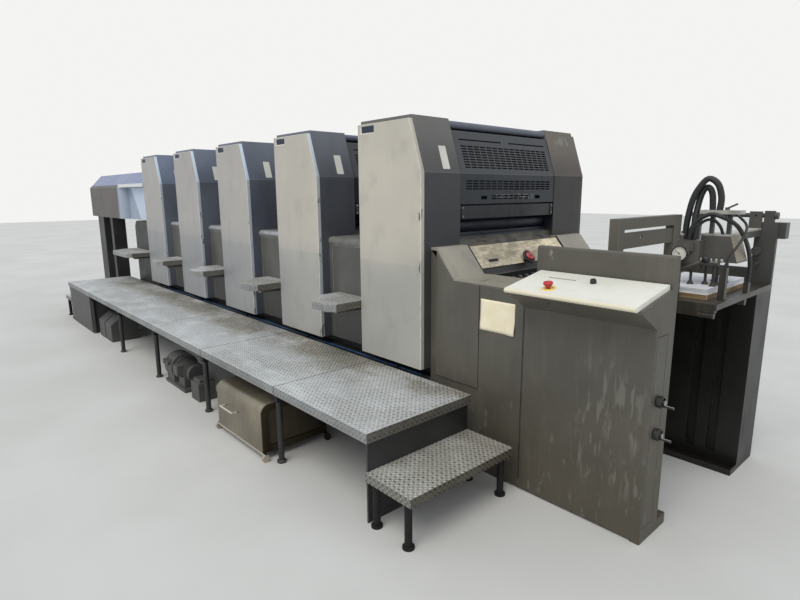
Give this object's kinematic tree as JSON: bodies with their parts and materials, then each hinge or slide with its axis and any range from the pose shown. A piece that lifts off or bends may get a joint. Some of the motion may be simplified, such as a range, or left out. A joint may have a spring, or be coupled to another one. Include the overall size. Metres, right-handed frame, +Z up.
{
  "type": "offset printing press",
  "caption": "Sheet-fed offset printing press with feeder, console, printing towers, delivery and tread-plate walkways, standing on the floor.",
  "frame": {"origin": "on the floor, under the middle of the third printing unit, on the towers' centre plane", "axes": "+X along the machine towards the feeder, +Y to the drive side, +Z up"},
  "size_m": [7.705, 2.54, 1.77],
  "materials": {
    "dark_housing": "satin",
    "guard": "satin",
    "light_cover": "satin",
    "transfer_housing": "satin",
    "tread_plate": "worn",
    "console": "satin",
    "worn_cover": "worn",
    "desk": "satin",
    "red_button": "gloss",
    "bright_metal": "satin",
    "paper": "matt",
    "hose": "satin",
    "delivery": "satin",
    "pale_guard": "satin",
    "tank": "worn",
    "pile_plate": "worn",
    "dark_frame": "satin"
  },
  "bodies": {
    "press": {"base_frame": "dark_frame", "unit_body_1": "dark_housing", "unit_body_2": "dark_housing", "unit_body_3": "dark_housing", "unit_body_4": "dark_housing", "unit_body_5": "dark_housing", "side_cover_1": "light_cover", "side_cover_2": "light_cover", "side_cover_3": "light_cover", "side_cover_4": "light_cover", "side_cover_5": "light_cover", "drive_covers": "light_cover", "transfer_housing_1": "transfer_housing", "transfer_housing_2": "transfer_housing", "transfer_housing_3": "transfer_housing", "transfer_housing_4": "transfer_housing", "footstep_1": "tread_plate", "footstep_2": "tread_plate", "footstep_3": "tread_plate", "footstep_4": "tread_plate", "delivery_shelf": "tread_plate", "infeed_housing": "console", "infeed_cover": "worn_cover", "infeed_mechanism": "dark_frame", "setting_knob": "red_button", "feeder_console": "console", "desk_plate": "desk", "feeder_frame": "dark_frame", "feed_portal": "dark_frame", "pile_plate": "pile_plate", "paper_stack": "paper", "suction_head": "dark_frame", "air_hoses": "hose", "delivery_housing": "delivery", "delivery_guard": "pale_guard", "delivery_frame": "delivery", "gallery_deck": "tread_plate", "gallery_legs": "dark_frame", "entry_step": "tread_plate", "drive_gallery": "tread_plate", "service_tank": "tank", "pump_unit": "dark_frame", "service_boxes": "dark_frame"},
    "guard_1": {"guard_1": "guard"},
    "guard_2": {"guard_2": "guard"},
    "guard_3": {"guard_3": "guard"},
    "guard_4": {"guard_4": "guard"},
    "guard_5": {"guard_5": "guard"},
    "crank_upper": {"crank_upper": "bright_metal"},
    "crank_lower": {"crank_lower": "bright_metal"},
    "stop_button": {"stop_button": "red_button"}
  },
  "joints": [
    {"name": "guard_1_hinge", "type": "hinge", "parent": "press", "child": "guard_1", "pos_m": [2.0235, 0, 1.698], "axis": [0, -1, 0], "range_deg": [0, 70]},
    {"name": "guard_2_hinge", "type": "hinge", "parent": "press", "child": "guard_2", "pos_m": [1.0935, 0, 1.698], "axis": [0, -1, 0], "range_deg": [0, 70]},
    {"name": "guard_3_hinge", "type": "hinge", "parent": "press", "child": "guard_3", "pos_m": [0.1635, 0, 1.698], "axis": [0, -1, 0], "range_deg": [0, 70]},
    {"name": "guard_4_hinge", "type": "hinge", "parent": "press", "child": "guard_4", "pos_m": [-0.7665, 0, 1.698], "axis": [0, -1, 0], "range_deg": [0, 70]},
    {"name": "guard_5_hinge", "type": "hinge", "parent": "press", "child": "guard_5", "pos_m": [-1.6965, 0, 1.698], "axis": [0, -1, 0], "range_deg": [0, 70]},
    {"name": "crank_upper_turn", "type": "hinge", "parent": "press", "child": "crank_upper", "pos_m": [3.2865, -0.6449, 0.594], "axis": [1, 0, 0], "continuous": true},
    {"name": "crank_lower_turn", "type": "hinge", "parent": "press", "child": "crank_lower", "pos_m": [3.2865, -0.6449, 0.461], "axis": [1, 0, 0], "continuous": true},
    {"name": "stop_button_press", "type": "slide", "parent": "press", "child": "stop_button", "axis": [0, 0.1839, -0.983], "range_m": [0, 0.004], "stiffness_N_per_m": 500, "springref_m": -0.004}
  ]
}
